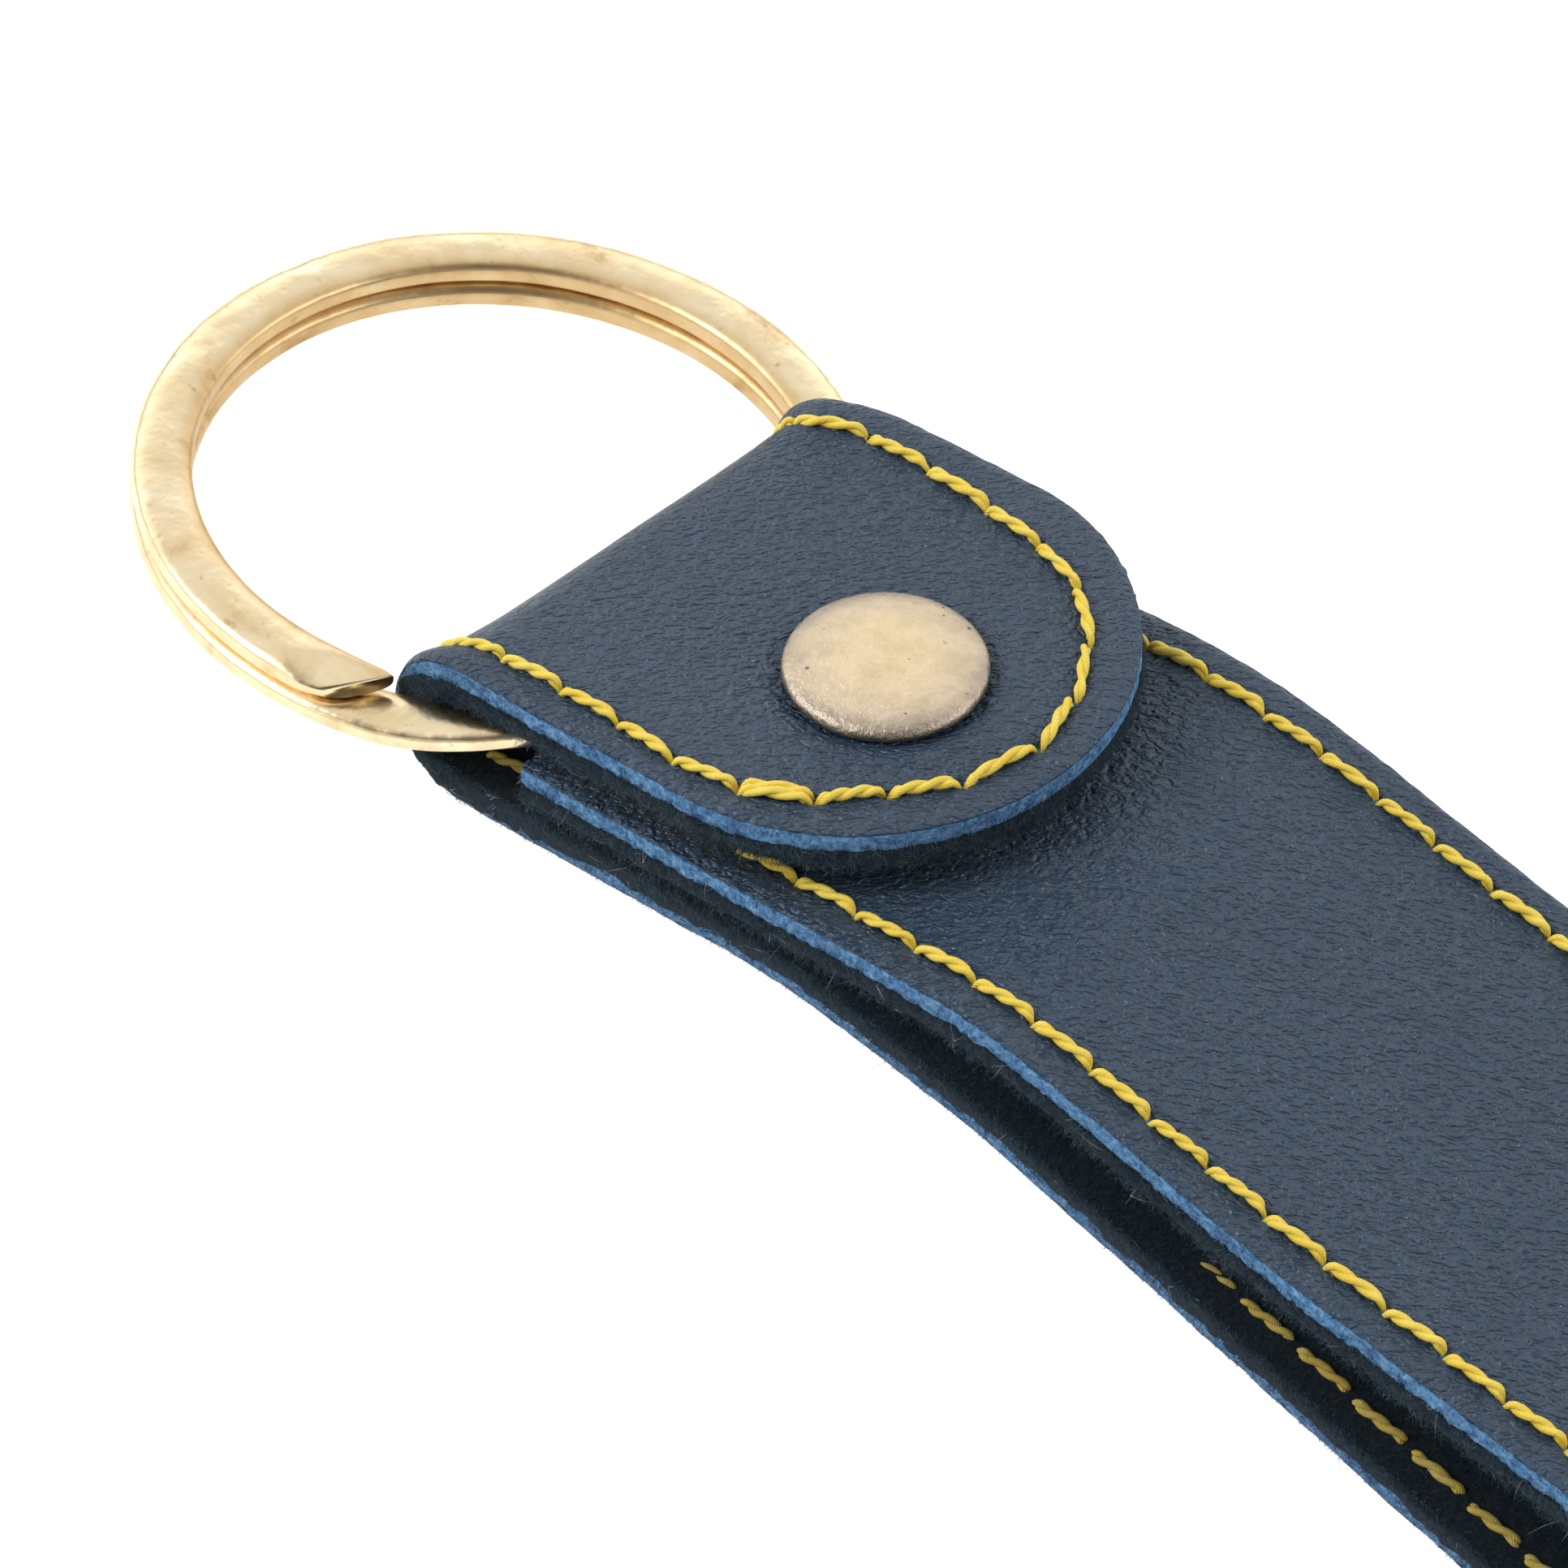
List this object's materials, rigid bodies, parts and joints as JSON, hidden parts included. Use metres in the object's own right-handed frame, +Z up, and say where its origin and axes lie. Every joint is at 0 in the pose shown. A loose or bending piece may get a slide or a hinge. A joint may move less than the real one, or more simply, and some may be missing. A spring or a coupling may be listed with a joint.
{
  "type": "wristlet keychain",
  "caption": "Stitched wrist strap folded round a split ring for keys, its rounded flap closed by a press stud with a domed cap.",
  "frame": {"origin": "centre of the keychain's footprint, on the surface that it lies on", "axes": "+X along the strap from the split ring to the loop's far bend, +Y across the strap, +Z up from the table"},
  "size_m": [0.162, 0.032, 0.018],
  "materials": {
    "skin": "fine embossed grain, semi-gloss navy coating",
    "foam_core": "cut edge of a bright blue open-cell core, slightly ragged",
    "backing": "brushed near-black fleece with stray fibres",
    "thread": "two-ply twisted yellow thread",
    "ring_gold": "gold-plated steel, slightly worn and mottled",
    "antique_brass": "satin antique brass, mottled, darker round the rim",
    "spring_steel": "plain steel"
  },
  "bodies": {
    "strap": {"strap_facing": "skin", "strap_foam": "foam_core", "strap_backing": "backing", "strap_outer_thread": "thread", "strap_inner_thread": "thread", "snap_stud": "antique_brass", "rear_post": "antique_brass"},
    "flap": {"flap_facing": "skin", "flap_foam": "foam_core", "flap_backing": "backing", "flap_outer_thread": "thread", "flap_inner_thread": "thread", "snap_cap": "antique_brass", "cap_post": "spring_steel", "snap_socket": "antique_brass", "socket_spring": "spring_steel"},
    "ring": {"split_ring": "ring_gold"}
  },
  "joints": [
    {"name": "flap_lift", "type": "hinge", "parent": "strap", "child": "flap", "pos_m": [-0.05613, 0, 0.00873], "axis": [0, -1, 0], "range_deg": [0, 110]},
    {"name": "ring_turn", "type": "hinge", "parent": "strap", "child": "ring", "pos_m": [-0.06498, 0, 0.00383], "axis": [-0.1442, 0.0401, 0.9887], "continuous": true}
  ]
}
